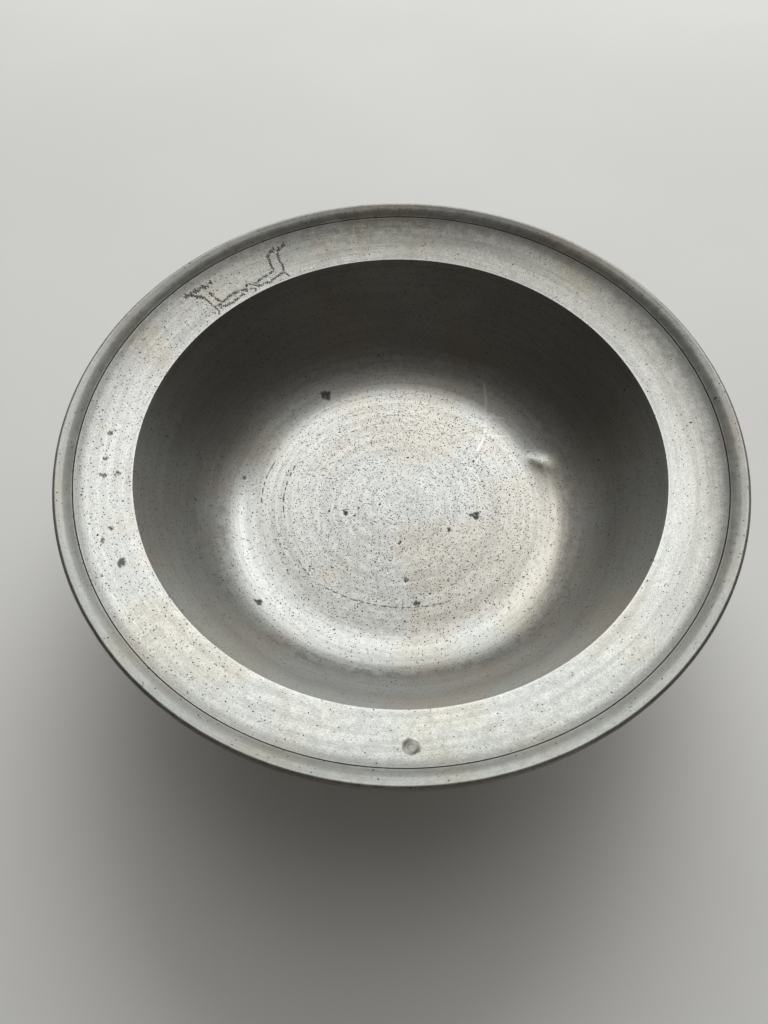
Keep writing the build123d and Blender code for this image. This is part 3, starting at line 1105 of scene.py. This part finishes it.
# Strength or colour of the light panel by its tilt in degrees, from +Y over the top to -Y, and by the
# direction's own X
panel_tilts = [
    (0, 0.0), (7, 0.22), (18, 0.56),
    (28, (0.72, 0.75, 0.735)), (36, (0.79, 0.82, 0.8)), (45, (0.91, 0.93, 0.915)),
    (53, 1.0), (57, 0.96), (62, 0.74), (67, 0.5),
    (72, (0.52, 0.505, 0.465)), (80, (0.46, 0.455, 0.43)), (91, 0.0),
]
panel_sides = [
    (-0.37, 0.0), (-0.33, 0.12), (-0.27, (0.55, 0.52, 0.46)), (-0.22, (1.0, 0.96, 0.88)), (-0.16, 1.0),
    (-0.08, 0.84), (0.06, (0.82, 0.84, 0.83)), (0.14, 0.92), (0.24, 1.06), (0.32, 1.1),
    (0.37, 0.8), (0.42, 0.35), (0.48, 0.1), (0.55, 0.0),
]
panel_strength = 1.3

# The dim room: its colour by tilt, and how it falls off to the sides
room_tilts = [
    (0, (0.30, 0.30, 0.295)),
    (66, (0.30, 0.30, 0.295)),
    (82, (0.14, 0.138, 0.132)),
    (104, (0.10, 0.095, 0.088)),
    (125, (0.105, 0.092, 0.08)),
    (180, (0.12, 0.105, 0.092)),
]
room_sides = [(-1.0, 0.3), (-0.7, 0.6), (-0.45, 0.95), (0.45, 1.2), (0.7, 0.95), (1.0, 0.35)]
room_strength = 1.0

# The lamp beside the panel: its place and size in metres, and its power
lamp_place = (0.3, 1.88, 0.66)
lamp_size, lamp_power = 2.2, 55.0


def studio_light():
    """Soft light: one broad panel on the far side, in a dim room that is a little warm on the near side.

    A direction's tilt is its angle round the X axis. The panel and the room are each a strength by the tilt
    times a strength by X. A soft lamp beside the panel lights what is dull, and stays out of the gloss.
    """
    world = bpy.data.worlds.new("studio_light")
    world.use_nodes = True
    bpy.context.scene.world = world
    finish = Finish(world.node_tree)
    apart = finish.add("ShaderNodeSeparateXYZ", {0: finish.add("ShaderNodeTexCoord")})
    tilt = finish.math("ARCTAN2", apart.node.outputs[2], apart.node.outputs[1])
    tilt = finish.math("DIVIDE", finish.math("ABSOLUTE", tilt), np.pi)
    side = finish.math("MULTIPLY_ADD", apart, 0.5)
    side.node.inputs[2].default_value = 0.5
    backgrounds = []
    panel = (panel_tilts, panel_sides, panel_strength)
    room = (room_tilts, room_sides, room_strength)
    for tilts, sides, strength in (panel, room):
        colour = finish.ramp(tilt, [(degrees / 180, value) for degrees, value in tilts])
        across = finish.ramp(side, [(0.5 + 0.5 * x, value) for x, value in sides])
        colour = finish.blend(1.0, colour, across, "MULTIPLY")
        backgrounds.append(finish.add("ShaderNodeBackground", {"Color": colour, "Strength": strength}))
    both = finish.add("ShaderNodeAddShader", {0: backgrounds[0], 1: backgrounds[1]})
    finish.add("ShaderNodeOutputWorld", {"Surface": both})

    data = bpy.data.lights.new("panel_lamp", "AREA")
    data.shape = "DISK"
    data.size = lamp_size
    data.energy = lamp_power
    lamp = bpy.data.objects.new("panel_lamp", data)
    lamp.location = lamp_place
    lamp.rotation_euler = lamp.location.to_track_quat("Z", "Y").to_euler()
    lamp.visible_glossy = False
    bpy.context.scene.collection.objects.link(lamp)


# Camera: its place in millimetres, its tilt below the level and its small roll, with a focal length in pixels
camera_place = (-5.43, -136.98, 247.64)
camera_tilt, camera_roll = np.radians(60.74), np.radians(-0.58)
focal_pixels, image_height = 720.0, 1024.0
sensor = 36.0


def photo_camera():
    """Camera at the photograph's angle."""
    data = bpy.data.cameras.new("photo_camera")
    data.sensor_width = sensor
    data.lens = focal_pixels / image_height * sensor
    data.clip_start = 0.01
    data.clip_end = 50.0
    camera = bpy.data.objects.new("photo_camera", data)
    forward = Vector((0, np.cos(camera_tilt), -np.sin(camera_tilt)))
    right = Vector((1, 0, 0))
    up = right.cross(forward)
    across = np.cos(camera_roll) * right + np.sin(camera_roll) * up
    upright = np.cos(camera_roll) * up - np.sin(camera_roll) * right
    turn = Matrix((across, upright, -forward)).transposed().to_4x4()
    camera.matrix_world = Matrix.Translation(Vector(camera_place) * MM) @ turn
    bpy.context.scene.collection.objects.link(camera)
    bpy.context.scene.camera = camera


studio_floor()
studio_light()
photo_camera()
bpy.context.scene.view_settings.view_transform = "Standard"
